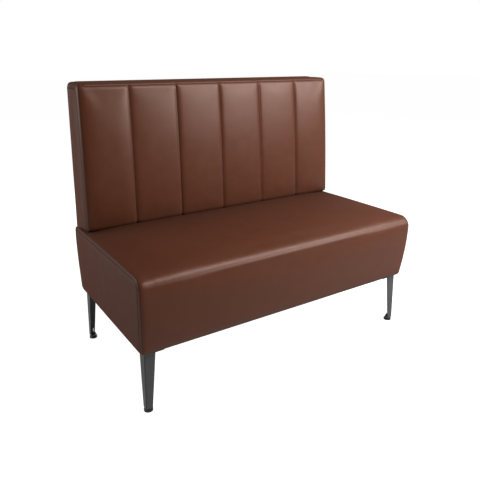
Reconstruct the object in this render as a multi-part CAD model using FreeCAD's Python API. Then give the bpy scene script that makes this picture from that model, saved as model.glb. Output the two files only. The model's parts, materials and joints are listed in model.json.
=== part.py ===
import FreeCAD, Part
import math
import os

os.makedirs("parts", exist_ok=True)

# A free-standing booth bench: a deep upholstered seat on four folded steel legs,
# with a fluted back standing on the rear of the seat.
# Millimetres. +Z is up, the bench faces -Y, and the origin lies on the floor
# under the middle of the bench.

# Overall sizes
overall_width = 1200.0
overall_depth = 656.0
overall_height = 1022.0
seat_height = 482.0
underside_height = 205.0

# Seat cover: leather cloth with its lining and wadding
seat_wall = 12.0
seat_top_wall = 14.0
seat_front_tuck = 28.0
seat_side_tuck = 12.0
seat_rear_tuck = 4.0
seat_roll = 30.0
seat_shoulder = 17.0
seat_crown = 10.0
seat_corner = 20.0
seat_hem_roll = 8.0
seat_front_bow = 3.0
seat_side_bow = 2.0
crown_reach = 270.0
tuck_power = 1.6
seat_hem_turn_shares = (0.0, 0.5)
seat_wall_rise_shares = (0.0, 0.33, 0.67, 1.0)
seat_roll_turn_shares = (0.35, 0.7, 1.0)
seat_crown_reach_shares = (0.45, 1.0)

# Back cover: fluted front, plain sides and top
back_foot_thickness = 150.0
back_head_thickness = 130.0
back_lean = 14.0
back_roll = 20.0
back_foot_roll = 12.0
back_corner = 18.0
back_rear_corner = 10.0
back_crown = 3.0
back_crown_reach = 40.0
back_fullness = 5.0
channel_count = 6
channel_depth = 9.0
edge_drop = 4.0
fluting_wall = 25.0
back_side_wall = 12.0
back_side_ease = 1.5
back_top_wall = 16.0
back_rear_wall = 5.0
back_seat_sink = 9.0
back_foot_turn_shares = (0.0, 0.5)
back_wall_rise_shares = (0.0, 0.3, 0.6, 0.85, 1.0)
back_roll_turn_shares = (0.35, 0.7, 1.0)

# Hems turned under the frames, and the dust cloth below the seat
hem_thickness = 2.0
seat_hem_width = 30.0
back_hem_width = 20.0
dust_cloth = 1.0
dust_cloth_margin = 8.0

# Outside back: a padded panel let into the rear of the back cover
outside_back_margin = 26.0
outside_back_corner = 12.0
outside_back_gap = 0.5

# Timber frame
ply = 22.0
frame_height = 150.0
frame_side_gap = 0.5
inner_frame_place = 190.0
inner_frame_drop = 30.0
frame_crook = 25.0
tenon_height = 35.0
tenon_pitch = 55.0
tenon_rise = 20.0
panel_ply = 5.0
rear_board = 4.0
ledger_height = 40.0
block_side = 110.0
block_height = 45.0
block_chamfer = 48.0

# Foam and webbing
back_foam_thickness = 30.0
strap_width = 50.0
strap_thickness = 2.0
straps_per_bay = 3
strap_end_margin = 5.0
front_padding_foot = 30.0

# Legs: folded steel angles, each on a screwed plate
leg_inset = 18.0
leg_steel = 3.0
leg_head_width = 38.0
leg_foot_width = 23.0
leg_bend = 4.0
leg_foot_height = 12.0
plate_side = 78.0
plate_steel = 4.0
plate_clip = 10.0
screw_offset = 27.0
screw_spacing = 36.0
tab_side = 21.0
tab_steel = 4.0
tab_clip = 8.0
nut_across = 13.0
nut_height = 8.0

# Levelling glides
glide_offset = 13.0
glide_travel = 12.0
pad_radius = 15.0
pad_height = 7.0
pad_socket_depth = 4.0
stud_radius = 4.0
stud_head_across = 13.0
thread_gap = 0.1

# Coach screws that hold the leg plates
screw_radius = 3.0
screw_length = 32.0
screw_head_across = 10.0
screw_head_height = 4.0
screw_gap = 0.2

# Clearances shared by all pieces
gap = 0.3
overrun = 5.0

# Heights and faces that follow from the sizes above
form_base = underside_height + dust_cloth
frame_base = form_base + hem_thickness
frame_top = frame_base + frame_height
seat_front = -overall_depth / 2
seat_rear = overall_depth / 2 - back_lean
seat_edge_height = seat_height - seat_crown
seat_full_height = seat_edge_height - seat_roll
seat_half = overall_width / 2
cavity_half = seat_half - seat_side_tuck - seat_wall
cavity_rear = seat_rear - seat_rear_tuck - seat_wall
frame_half = cavity_half - frame_side_gap
front_rail_front = seat_front + seat_front_tuck + seat_wall + gap
front_rail_rear = front_rail_front + ply
rear_rail_rear = cavity_rear - gap
rear_rail_front = rear_rail_rear - ply
rear_rail_top = seat_full_height - gap
back_bed = seat_height - back_seat_sink
back_base = back_bed + gap
back_cavity_half = frame_half + back_side_ease
back_half = back_cavity_half + back_side_wall
back_full_height = overall_height - back_crown - back_roll
back_cavity_base = back_base + hem_thickness
back_cavity_top = overall_height - back_top_wall
post_step = back_cavity_base + gap
post_top = back_cavity_top - gap - ply
leg_top = underside_height - plate_steel
plate_outer_x = seat_half - seat_side_tuck - leg_inset
plate_front_y = seat_front + seat_front_tuck + leg_inset
plate_rear_y = seat_rear - seat_rear_tuck - leg_inset


def point(x, y, z):
    return FreeCAD.Vector(x, y, z)


def save(node, shape):
    shape.exportStep("parts/" + node + ".step")


def block(x0, x1, y0, y1, z0, z1):
    return Part.makeBox(x1 - x0, y1 - y0, z1 - z0, point(x0, y0, z0))


def rod(radius, x, y, z0, z1):
    return Part.makeCylinder(radius, z1 - z0, point(x, y, z0))


def line(a, b):
    return Part.LineSegment(a, b).toShape()


def arc(a, middle, b):
    return Part.Arc(a, middle, b).toShape()


def side_profile(points, x0, x1):
    """A sheet piece cut to an outline of (y, z) points, standing between two X planes."""
    outline = [point(x0, y, z) for y, z in points]
    face = Part.Face(Part.makePolygon(outline + [outline[0]]))
    return face.extrude(point(x1 - x0, 0, 0))


def plan_profile(points, z0, z1):
    """A flat piece cut to an outline of (x, y) points, lying between two heights."""
    outline = [point(x, y, z0) for x, y in points]
    face = Part.Face(Part.makePolygon(outline + [outline[0]]))
    return face.extrude(point(0, 0, z1 - z0))


def upright_edges(shape, near_x, near_y, reach):
    """The vertical edges of a flat piece that stand within reach of one plan place."""
    found = []
    for edge in shape.Edges:
        box = edge.BoundBox
        straight_up = box.XLength < reach and box.YLength < reach and box.ZLength > box.XLength + box.YLength
        if straight_up and abs(box.Center.x - near_x) < reach and abs(box.Center.y - near_y) < reach:
            found.append(edge)
    return found


def mirrored(x_side, y_side, shape):
    """A copy of a front-right piece for the corner that x_side and y_side name."""
    copy = shape
    if x_side < 0:
        copy = copy.mirror(point(0, 0, 0), point(1, 0, 0))
    if y_side > 0:
        middle = (plate_front_y + plate_rear_y) / 2
        copy = copy.mirror(point(0, middle, 0), point(0, 1, 0))
    return copy


corners = {
    "front_left": (-1, -1),
    "front_right": (1, -1),
    "rear_left": (-1, 1),
    "rear_right": (1, 1),
}


# Faces of the back, which lean with height
def back_rear(z):
    return overall_depth / 2 - back_lean * (back_full_height - z) / (back_full_height - back_base)


def back_thickness(z):
    rise_share = (z - back_base) / (back_full_height - back_base)
    return back_foot_thickness + (back_head_thickness - back_foot_thickness) * rise_share


def back_front(z):
    return back_rear(z) - back_thickness(z)


def post_front(z):
    return back_front(z) + fluting_wall + back_foam_thickness + panel_ply


def post_rear(z):
    return back_rear(z) - back_rear_wall - rear_board


def leaning_slab(front, rear, z0, z1, half):
    """A slab across the bench whose two faces follow the leaning lines front(z) and rear(z)."""
    outline = [(front(z0), z0), (rear(z0), z0), (rear(z1), z1), (front(z1), z1)]
    return side_profile(outline, -half, half)


# Seat upholstery
def seat_outline(z, inset, tuck_share):
    """Plan outline of the seat at one height: bowed sides between round corners."""
    half = seat_half - seat_side_bow - seat_side_tuck * tuck_share - inset
    front = seat_front + seat_front_bow + seat_front_tuck * tuck_share + inset
    rear = seat_rear - seat_rear_tuck * tuck_share - inset
    r = seat_corner
    k = r * (1 - math.sqrt(0.5))
    middle = (front + rear) / 2
    edges = [
        arc(point(r - half, front, z), point(0, front - seat_front_bow, z), point(half - r, front, z)),
        arc(point(half - r, front, z), point(half - k, front + k, z), point(half, front + r, z)),
        arc(point(half, front + r, z), point(half + seat_side_bow, middle, z), point(half, rear - r, z)),
        arc(point(half, rear - r, z), point(half - k, rear - k, z), point(half - r, rear, z)),
        line(point(half - r, rear, z), point(r - half, rear, z)),
        arc(point(r - half, rear, z), point(k - half, rear - k, z), point(-half, rear - r, z)),
        arc(point(-half, rear - r, z), point(-half - seat_side_bow, middle, z), point(-half, front + r, z)),
        arc(point(-half, front + r, z), point(k - half, front + k, z), point(r - half, front, z)),
    ]
    return Part.Wire(edges)


def seat_form():
    """The crowned seat, full at the top edge and drawn in towards its hem."""
    sections = []
    for turn_share in seat_hem_turn_shares:
        turn = turn_share * math.pi / 2
        inset = seat_hem_roll * (1 - math.sin(turn))
        sections.append(seat_outline(form_base + seat_hem_roll * (1 - math.cos(turn)), inset, 1))
    wall_foot = form_base + seat_hem_roll
    for rise_share in seat_wall_rise_shares:
        z = wall_foot + rise_share * (seat_full_height - wall_foot)
        sections.append(seat_outline(z, 0, (1 - rise_share) ** tuck_power))
    for turn_share in seat_roll_turn_shares:
        turn = turn_share * math.pi / 2
        inset = seat_roll * (1 - math.cos(turn))
        sections.append(seat_outline(seat_full_height + seat_roll * math.sin(turn), inset, 0))
    for reach_share in seat_crown_reach_shares:
        inset = seat_roll + (crown_reach - seat_roll) * reach_share
        z = seat_edge_height + seat_crown * math.sin(reach_share * math.pi / 2)
        sections.append(seat_outline(z, inset, 0))
    return Part.makeLoft(sections, True, True)


def rectangle(z, half, front, rear):
    corners_at = [point(-half, front, z), point(half, front, z), point(half, rear, z), point(-half, rear, z)]
    return Part.makePolygon(corners_at + [corners_at[0]])


def cavity_front(z):
    """Inner face of the seat cover's front, which slopes out from the hem to the full edge."""
    rise_share = (z - frame_base) / (seat_full_height - frame_base)
    return seat_front + seat_wall + seat_front_tuck * (1 - rise_share)


def seat_cavity():
    top = seat_height - seat_top_wall
    full_front = cavity_front(seat_full_height)
    narrow = cavity_half - seat_shoulder
    levels = [
        rectangle(frame_base, cavity_half, cavity_front(frame_base), cavity_rear),
        rectangle(seat_full_height, cavity_half, full_front, cavity_rear),
        rectangle(top, narrow, full_front + seat_shoulder, cavity_rear - seat_shoulder),
    ]
    return Part.makeLoft(levels, True, True)


def frame_places():
    """X of the outer face and the inner face of each upright frame, on the right side."""
    outer = (frame_half - ply, frame_half)
    inner = (inner_frame_place - ply / 2, inner_frame_place + ply / 2)
    return {"end": outer, "inner": inner}


def post_slots(front, z0, z1):
    """Holes for the four back posts where they pass through foam and covers."""
    slots = []
    for x0, x1 in frame_places().values():
        for side in (-1, 1):
            low, high = sorted((side * (x0 - gap), side * (x1 + gap)))
            slots.append(block(low, high, front, rear_rail_front + gap, z0, z1))
    return Part.makeCompound(slots)


def seat_cover():
    cover = seat_form().cut(seat_cavity())
    hem_front = cavity_front(frame_base) + seat_hem_width
    mouth = block(
        seat_hem_width - cavity_half,
        cavity_half - seat_hem_width,
        hem_front,
        cavity_rear - seat_hem_width,
        form_base - overrun,
        frame_base + overrun,
    )
    bed = block(
        -seat_half,
        seat_half,
        back_front(back_bed) - gap,
        overall_depth,
        back_bed,
        seat_height + overrun,
    )
    cover = cover.cut(mouth).cut(bed)
    return cover.cut(post_slots(post_front(seat_full_height) - gap, seat_full_height, seat_height + overrun))


def seat_foam():
    base = frame_top + strap_thickness + gap
    top = seat_height - seat_top_wall - gap
    half = cavity_half - gap
    full_front = cavity_front(seat_full_height) + gap
    rear = rear_rail_front - gap
    levels = [
        rectangle(base, half, cavity_front(base) + gap, rear),
        rectangle(seat_full_height, half, full_front, rear),
        rectangle(top, half - seat_shoulder, full_front + seat_shoulder, rear),
    ]
    foam = Part.makeLoft(levels, True, True)
    return foam.cut(post_slots(post_front(frame_top) - frame_crook - gap, base - overrun, top + overrun))


def seat_front_padding():
    foot = frame_base + front_padding_foot
    head = frame_top + strap_thickness
    face = front_rail_front - gap
    outline = [(cavity_front(foot) + gap, foot), (face, foot), (face, head), (cavity_front(head) + gap, head)]
    return side_profile(outline, gap - cavity_half, cavity_half - gap)


def dust_cover():
    half = seat_half - seat_side_tuck - dust_cloth_margin - seat_hem_roll
    front = seat_front + seat_front_tuck + seat_hem_roll + dust_cloth_margin
    rear = seat_rear - seat_rear_tuck - seat_hem_roll - dust_cloth_margin
    cloth = block(-half, half, front, rear, underside_height, form_base)
    slit = screw_radius + screw_gap
    for x, y in all_screw_centres():
        cloth = cloth.cut(block(x - slit, x + slit, y - slit, y + slit, underside_height, form_base))
    return cloth


def webbing():
    """Elastic straps from the front rail to the ledgers, shared evenly over the three bays."""
    front = front_rail_front + strap_end_margin
    rear = rear_rail_front - strap_end_margin
    edges = frame_places()
    bays = [
        (-edges["end"][0], -edges["inner"][1]),
        (-edges["inner"][0], edges["inner"][0]),
        (edges["inner"][1], edges["end"][0]),
    ]
    straps = []
    for low, high in bays:
        pitch = (high - low) / straps_per_bay
        for number in range(straps_per_bay):
            middle = low + (number + 0.5) * pitch
            x0, x1 = middle - strap_width / 2, middle + strap_width / 2
            straps.append(block(x0, x1, front, rear, frame_top, frame_top + strap_thickness))
    return Part.makeCompound(straps)


# Timber frame
def upright_frame(x0, x1, drop):
    """One plywood frame: the seat's end or middle rail and the back post in one piece."""
    head = frame_top - drop
    outline = [
        (front_rail_rear, frame_base),
        (rear_rail_front, frame_base),
        (rear_rail_front, post_step),
        (post_rear(post_step), post_step),
        (post_rear(post_top), post_top),
        (post_front(post_top), post_top),
        (post_front(head), head),
        (front_rail_rear, head),
    ]
    frame = side_profile(outline, x0, x1)
    crook = []
    for edge in frame.Edges:
        box = edge.BoundBox
        level = abs(box.Center.z - head) < gap and abs(box.Center.y - post_front(head)) < gap
        if level and box.XLength > box.YLength:
            crook.append(edge)
    frame = frame.makeFillet(frame_crook, crook)
    for z0 in tenon_feet():
        for y0, y1 in ((front_rail_front, front_rail_rear), (rear_rail_front, rear_rail_rear)):
            frame = frame.fuse(block(x0, x1, y0, y1, z0, z0 + tenon_height))
    return frame.removeSplitter()


def tenon_feet():
    first = frame_base + tenon_rise
    return (first, first + tenon_pitch)


def rail(front, rear, top):
    """A long board with mortises for the tenons of the four upright frames."""
    board = block(-frame_half, frame_half, front, rear, frame_base, top)
    for x0, x1 in frame_places().values():
        for side in (-1, 1):
            low, high = sorted((side * (x0 - gap), side * (x1 + gap)))
            for z0 in tenon_feet():
                board = board.cut(block(low, high, front, rear, z0 - gap, z0 + tenon_height + gap))
    return board


def webbing_ledgers():
    x_end = frame_places()["end"][0]
    x_near, x_far = frame_places()["inner"]
    pieces = []
    for low, high in ((-x_end, -x_far), (-x_near, x_near), (x_far, x_end)):
        pieces.append(block(low, high, rear_rail_front - ply, rear_rail_front, frame_top - ledger_height, frame_top))
    return Part.makeCompound(pieces)


def corner_block(x_side, y_side):
    """A block glued into the corner between an end frame and a rail, over the leg plate."""
    x = frame_half - ply
    outline = [
        (x, 0),
        (x, block_side),
        (x - block_side + block_chamfer, block_side),
        (x - block_side, block_side - block_chamfer),
        (x - block_side, 0),
    ]
    face = front_rail_rear if y_side < 0 else rear_rail_front
    placed = [(x_side * px, face - y_side * py) for px, py in outline]
    return plan_profile(placed, frame_base, frame_base + block_height)


def back_top_rail():
    z0 = post_top
    z1 = post_top + ply
    return block(-frame_half, frame_half, post_front(z1), post_rear(z0), z0, z1)


def back_bottom_rails():
    x_end = frame_places()["end"][0]
    x_near, x_far = frame_places()["inner"]
    z0 = post_step
    z1 = post_step + ply
    pieces = []
    for low, high in ((-x_end, -x_far), (-x_near, x_near), (x_far, x_end)):
        pieces.append(block(low, high, post_front(z1), post_rear(z0), z0, z1))
    return Part.makeCompound(pieces)


def back_front_panel():
    def face(z):
        return post_front(z) - panel_ply

    return leaning_slab(face, post_front, post_step, post_top + ply, frame_half)


def back_rear_panel():
    def face(z):
        return post_rear(z) + rear_board

    return leaning_slab(post_rear, face, post_step, post_top + ply, frame_half)


# Back upholstery
def back_outline(z, inset, fullness):
    """Plan outline of the back at one height: a fluted front between round corners."""
    half = back_half - inset
    front = back_front(z) + inset - fullness
    rear = back_rear(z) - inset
    r = back_corner
    k = r * (1 - math.sqrt(0.5))
    rr = back_rear_corner
    kr = rr * (1 - math.sqrt(0.5))
    pitch = 2 * back_half / channel_count
    edge_y = front + edge_drop
    seam_y = front + channel_depth
    stops = [(r - half, edge_y)]
    stops += [(pitch * number - back_half, seam_y) for number in range(1, channel_count)]
    stops += [(half - r, edge_y)]
    edges = []
    for (x0, y0), (x1, y1) in zip(stops, stops[1:]):
        edges.append(arc(point(x0, y0, z), point((x0 + x1) / 2, front, z), point(x1, y1, z)))
    edges += [
        arc(point(half - r, edge_y, z), point(half - k, edge_y + k, z), point(half, edge_y + r, z)),
        line(point(half, edge_y + r, z), point(half, rear - rr, z)),
        arc(point(half, rear - rr, z), point(half - kr, rear - kr, z), point(half - rr, rear, z)),
        line(point(half - rr, rear, z), point(rr - half, rear, z)),
        arc(point(rr - half, rear, z), point(kr - half, rear - kr, z), point(-half, rear - rr, z)),
        line(point(-half, rear - rr, z), point(-half, edge_y + r, z)),
        arc(point(-half, edge_y + r, z), point(k - half, edge_y + k, z), point(r - half, edge_y, z)),
    ]
    return Part.Wire(edges)


def back_form():
    """The whole back cushion: rolled at head and foot, and fuller at mid height."""
    sections = []
    for turn_share in back_foot_turn_shares:
        turn = turn_share * math.pi / 2
        z = back_base + back_foot_roll * (1 - math.cos(turn))
        sections.append(back_outline(z, back_foot_roll * (1 - math.sin(turn)), 0))
    foot = back_base + back_foot_roll
    for rise_share in back_wall_rise_shares:
        z = foot + rise_share * (back_full_height - foot)
        sections.append(back_outline(z, 0, back_fullness * math.sin(rise_share * math.pi)))
    for turn_share in back_roll_turn_shares:
        turn = turn_share * math.pi / 2
        z = back_full_height + back_roll * math.sin(turn)
        sections.append(back_outline(z, back_roll * (1 - math.cos(turn)), 0))
    sections.append(back_outline(overall_height, back_crown_reach, 0))
    return Part.makeLoft(sections, True, True)


def back_cavity():
    def front(z):
        return back_front(z) + fluting_wall

    def rear(z):
        return back_rear(z) - back_rear_wall

    return leaning_slab(front, rear, back_cavity_base, back_cavity_top, back_cavity_half)


def outside_back_tool(extra):
    """The rounded rectangle of the outside back panel, run out through the rear face."""
    half = back_half - outside_back_margin + extra
    z0 = back_base + outside_back_margin - extra
    z1 = overall_height - outside_back_margin - back_roll + extra
    y0 = back_rear(z0) - back_rear_wall - overrun
    tool = block(-half, half, y0, overall_depth, z0, z1)
    upright = [edge for edge in tool.Edges if edge.BoundBox.YLength > edge.BoundBox.XLength + edge.BoundBox.ZLength]
    return tool.makeFillet(outside_back_corner + extra, upright)


def back_cover():
    mouth_front = back_front(back_base) + fluting_wall + back_hem_width
    mouth_rear = back_rear(back_base) - back_rear_wall - back_hem_width
    mouth_half = back_cavity_half - back_hem_width
    mouth = block(
        -mouth_half, mouth_half, mouth_front, mouth_rear, back_base - overrun, back_cavity_base + overrun
    )
    cover = back_form().cut(back_cavity()).cut(mouth)
    cover = cover.cut(post_slots(post_front(back_base) - gap, back_base - overrun, back_cavity_base + overrun))
    return cover.cut(outside_back_tool(outside_back_gap))


def outside_back():
    def front(z):
        return back_rear(z) - back_rear_wall + gap

    def rear(z):
        return back_rear(z) - gap

    slab = leaning_slab(front, rear, back_base, overall_height, back_half)
    return slab.common(outside_back_tool(0))


def back_foam():
    def front(z):
        return back_front(z) + fluting_wall + gap

    def rear(z):
        return post_front(z) - panel_ply - gap

    return leaning_slab(front, rear, post_step, back_cavity_top - gap, back_cavity_half - gap)


# Legs and their fittings, drawn for the front right corner
def leg_angle():
    """A folded steel angle whose two flanges taper towards the foot."""
    x = plate_outer_x
    y = plate_front_y
    w = leg_head_width
    t = leg_steel
    outline = [(x, y), (x, y + w), (x - t, y + w), (x - t, y + t), (x - w, y + t), (x - w, y)]
    angle = plan_profile(outline, leg_foot_height, leg_top)
    angle = angle.makeFillet(leg_bend, upright_edges(angle, x, y, gap))
    angle = angle.makeFillet(leg_bend - t, upright_edges(angle, x - t, y + t, gap))
    f = leg_foot_width
    z0 = leg_foot_height - overrun
    slope = (w - f) / (leg_top - leg_foot_height)
    reach_foot = f - slope * overrun
    past = w + overrun
    front_cut = Part.Face(
        Part.makePolygon(
            [
                point(x - reach_foot, y - overrun, z0),
                point(x - w, y - overrun, leg_top),
                point(x - past, y - overrun, leg_top),
                point(x - past, y - overrun, z0),
                point(x - reach_foot, y - overrun, z0),
            ]
        )
    ).extrude(point(0, t + 2 * overrun, 0))
    side_cut = Part.Face(
        Part.makePolygon(
            [
                point(x + overrun, y + reach_foot, z0),
                point(x + overrun, y + w, leg_top),
                point(x + overrun, y + past, leg_top),
                point(x + overrun, y + past, z0),
                point(x + overrun, y + reach_foot, z0),
            ]
        )
    ).extrude(point(-t - 2 * overrun, 0, 0))
    return angle.cut(front_cut).cut(side_cut)


def screw_centres():
    """The three free corners of the front right leg plate, clear of the leg's fold."""
    near = screw_offset
    far = screw_offset + screw_spacing
    steps = ((far, near), (far, far), (near, far))
    return [(plate_outer_x - dx, plate_front_y + dy) for dx, dy in steps]


def all_screw_centres():
    rear_sum = plate_front_y + plate_rear_y
    places = []
    for x_side, y_side in corners.values():
        for x, y in screw_centres():
            places.append((x_side * x, y if y_side < 0 else rear_sum - y))
    return places


def leg_plate():
    x = plate_outer_x
    y = plate_front_y
    s = plate_side
    c = plate_clip
    outline = [
        (x, y),
        (x, y + s - c),
        (x - c, y + s),
        (x - s + c, y + s),
        (x - s, y + s - c),
        (x - s, y + c),
        (x - s + c, y),
    ]
    plate = plan_profile(outline, leg_top, underside_height)
    plate = plate.makeFillet(leg_bend, upright_edges(plate, x, y, gap))
    for cx, cy in screw_centres():
        plate = plate.cut(rod(screw_radius + screw_gap, cx, cy, leg_top, underside_height))
    return plate


def leg_screws():
    screws = []
    for x, y in all_screw_centres():
        shank = rod(screw_radius, x, y, leg_top, leg_top + screw_length)
        head = hexagon(screw_head_across, x, y, leg_top - screw_head_height, leg_top)
        screws.append(head.fuse(shank))
    return Part.makeCompound(screws)


def glide_centre():
    return plate_outer_x - glide_offset, plate_front_y + glide_offset


def hexagon(across, x, y, z0, z1):
    radius = across / math.sqrt(3)
    angles = [math.pi / 3 * number for number in range(6)]
    return plan_profile([(x + radius * math.cos(a), y + radius * math.sin(a)) for a in angles], z0, z1)


def foot_tab():
    """The small plate welded across the inside of the leg's foot, with its weld nut."""
    x = plate_outer_x - leg_steel
    y = plate_front_y + leg_steel
    s = tab_side
    c = leg_bend - leg_steel
    outline = [
        (x - c, y),
        (x, y + c),
        (x, y + s),
        (x - s + tab_clip, y + s),
        (x - s, y + s - tab_clip),
        (x - s, y),
    ]
    tab = plan_profile(outline, leg_foot_height, leg_foot_height + tab_steel)
    cx, cy = glide_centre()
    z0 = leg_foot_height + tab_steel
    tab = tab.fuse(hexagon(nut_across, cx, cy, z0, z0 + nut_height))
    return tab.cut(rod(stud_radius + thread_gap, cx, cy, leg_foot_height, z0 + nut_height))


def glide_pad():
    """A round nylon pad with a hexagonal socket for the head of the stud."""
    cx, cy = glide_centre()
    pad = rod(pad_radius, cx, cy, 0, pad_height)
    across = stud_head_across + thread_gap + thread_gap
    return pad.cut(hexagon(across, cx, cy, pad_height - pad_socket_depth, pad_height))


def glide_stud():
    """The threaded stud with the hexagonal head that a spanner turns."""
    cx, cy = glide_centre()
    head_foot = pad_height - pad_socket_depth
    head_top = leg_foot_height - gap
    tip = leg_foot_height + tab_steel + nut_height + glide_travel + stud_radius
    head = hexagon(stud_head_across, cx, cy, head_foot, head_top)
    return head.fuse(rod(stud_radius, cx, cy, head_top, tip))


save("seat_cover", seat_cover())
save("seat_foam", seat_foam())
save("seat_front_padding", seat_front_padding())
save("seat_webbing", webbing())
save("dust_cover", dust_cover())
save("seat_front_rail", rail(front_rail_front, front_rail_rear, frame_top))
save("seat_rear_rail", rail(rear_rail_front, rear_rail_rear, rear_rail_top))
save("webbing_ledgers", webbing_ledgers())
for place, frame_drop in (("end", 0), ("inner", inner_frame_drop)):
    near_face, far_face = frame_places()[place]
    right_frame = upright_frame(near_face, far_face, frame_drop)
    save("right_" + place + "_frame", right_frame)
    save("left_" + place + "_frame", right_frame.mirror(point(0, 0, 0), point(1, 0, 0)))

save("back_cover", back_cover())
save("outside_back", outside_back())
save("back_foam", back_foam())
save("back_front_panel", back_front_panel())
save("back_rear_panel", back_rear_panel())
save("back_top_rail", back_top_rail())
save("back_bottom_rails", back_bottom_rails())

leg_pieces = {
    "leg": leg_angle(),
    "leg_plate": leg_plate(),
    "foot_tab": foot_tab(),
    "glide_pad": glide_pad(),
    "glide_stud": glide_stud(),
}
pilot_top = leg_top + screw_length + screw_gap
for corner, (x_side, y_side) in corners.items():
    for name, shape in leg_pieces.items():
        save(corner + "_" + name, mirrored(x_side, y_side, shape))
    wood = corner_block(x_side, y_side)
    for x, y in all_screw_centres():
        wood = wood.cut(rod(screw_radius + screw_gap, x, y, frame_base, pilot_top))
    save(corner + "_corner_block", wood)
save("leg_screws", leg_screws())
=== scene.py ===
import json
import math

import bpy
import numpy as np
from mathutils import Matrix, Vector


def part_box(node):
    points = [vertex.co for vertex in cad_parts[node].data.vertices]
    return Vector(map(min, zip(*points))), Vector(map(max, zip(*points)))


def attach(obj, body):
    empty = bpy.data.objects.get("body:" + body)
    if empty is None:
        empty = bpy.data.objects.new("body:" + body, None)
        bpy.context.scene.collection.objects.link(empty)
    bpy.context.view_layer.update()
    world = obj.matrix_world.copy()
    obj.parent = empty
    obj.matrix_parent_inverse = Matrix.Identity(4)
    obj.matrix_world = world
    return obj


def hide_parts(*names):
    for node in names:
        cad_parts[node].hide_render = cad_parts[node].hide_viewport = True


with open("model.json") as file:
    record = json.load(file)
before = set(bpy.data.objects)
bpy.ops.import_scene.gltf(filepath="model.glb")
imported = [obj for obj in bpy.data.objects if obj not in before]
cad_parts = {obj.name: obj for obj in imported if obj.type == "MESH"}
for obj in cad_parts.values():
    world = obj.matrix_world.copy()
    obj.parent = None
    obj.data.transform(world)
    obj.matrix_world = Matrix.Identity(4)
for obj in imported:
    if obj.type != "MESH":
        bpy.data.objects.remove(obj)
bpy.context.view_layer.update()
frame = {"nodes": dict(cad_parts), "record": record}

# %% [markdown]
# # A restaurant booth bench
#
# The solids of this bench come from a CAD model. They set every size and place. This
# notebook dresses them: it sews the covers, paints the steel, and sets up a camera and
# lights like those of a catalogue picture. All lengths are in metres, +Z is up and the
# bench faces -Y.
#
# First come the tools that later cells share. Blender's operators act on whatever is
# selected, so the helpers below always clear the selection before they pick something.

nodes = frame["nodes"]
scene = bpy.context.scene
MM = 0.001


def only(piece):
    """Make one object the only selected and the active one."""
    if bpy.context.mode != "OBJECT":
        bpy.ops.object.mode_set(mode="OBJECT")
    bpy.ops.object.select_all(action="DESELECT")
    piece.select_set(True)
    bpy.context.view_layer.objects.active = piece


def named(name):
    """Give the object that an operator has just added its name."""
    piece = bpy.context.object
    piece.name = name
    piece.data.name = name
    return piece


def settle(piece):
    """Write an object's place, turn and scale into its mesh."""
    only(piece)
    bpy.ops.object.transform_apply(location=True, rotation=True, scale=True)


def pick(piece, what, test):
    """Open edit mode with just the vertices, edges or faces that pass a test selected."""
    only(piece)
    mesh = piece.data
    for group in (mesh.vertices, mesh.edges, mesh.polygons):
        group.foreach_set("select", [False] * len(group))
    chosen = 0
    for item in {"VERT": mesh.vertices, "EDGE": mesh.edges, "FACE": mesh.polygons}[what]:
        if what == "EDGE":
            a, b = (mesh.vertices[i].co for i in item.vertices)
            passed = test(a, b)
        elif what == "FACE":
            passed = test(item.center, item.normal)
        else:
            passed = test(item.co)
        item.select = passed
        chosen += passed
    bpy.ops.object.mode_set(mode="EDIT")
    bpy.ops.mesh.select_mode(type=what)
    return chosen


def done():
    """Leave edit mode."""
    bpy.ops.object.mode_set(mode="OBJECT")


def add_and_apply(piece, kind, **settings):
    """Add one modifier, set it up and apply it."""
    only(piece)
    modifier = piece.modifiers.new(kind.lower(), kind)
    for name, value in settings.items():
        setattr(modifier, name, value)
    bpy.ops.object.modifier_apply(modifier=modifier.name)


def points_of(piece):
    """All vertices of a mesh as one table of x, y, z."""
    table = np.empty(len(piece.data.vertices) * 3)
    piece.data.vertices.foreach_get("co", table)
    return table.reshape(-1, 3)


def normals_of(piece):
    """The outward direction at each vertex."""
    table = np.empty(len(piece.data.vertices) * 3)
    piece.data.vertices.foreach_get("normal", table)
    return table.reshape(-1, 3)


def write_points(piece, table):
    """Put a table of x, y, z back into the mesh."""
    piece.data.vertices.foreach_set("co", table.ravel())
    piece.data.update()


def weigh(piece, name, weights):
    """Make a vertex group with a weight for each point."""
    group = piece.vertex_groups.new(name=name)
    for number, weight in enumerate(weights.tolist()):
        if weight > 0:
            group.add([number], weight, "REPLACE")


def ease(value, low, high):
    """A share that rises smoothly from 0 at low to 1 at high."""
    share = np.clip((value - low) / (high - low), 0.0, 1.0)
    return share * share * (3.0 - 2.0 * share)


print("nodes in the frame:", len(nodes))

# %% [markdown]
# ## Sizes read from the frame
#
# Nothing is measured twice. Each cover lies where its CAD solid lies, so the boxes of
# the nodes give most lengths that the sewing below needs. The others are the tucks and
# rolls that an upholsterer would note on the cutting plan. A point that is far from any
# seam counts as `nowhere`, 50 mm off.

# %% Boxes and cutting plan
seat_low, seat_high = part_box("seat_cover")
back_low, back_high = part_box("back_cover")
panel_low, panel_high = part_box("outside_back")
cloth_low, cloth_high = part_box("dust_cover")
floor_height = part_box("front_left_glide_pad")[0].z

seat_half = seat_high.x
seat_full_height = 442 * MM
seat_front_tuck = 28 * MM
seat_side_tuck = 12 * MM
seat_rear_tuck = 4 * MM
seat_edge_drop = 10 * MM
crown_reach = 180 * MM
room_to_swell = 2.5 * MM

back_half = back_high.x
back_foot_front = 164 * MM
back_head_front = 198 * MM
back_foot_rear = 314 * MM
back_head_rear = 328 * MM
back_bulge = 5 * MM
channel_count = 6
nowhere = 50 * MM
channel_pitch = 2 * back_half / channel_count
seam_places = np.array([channel_pitch * number - back_half for number in range(1, channel_count)])

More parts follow.
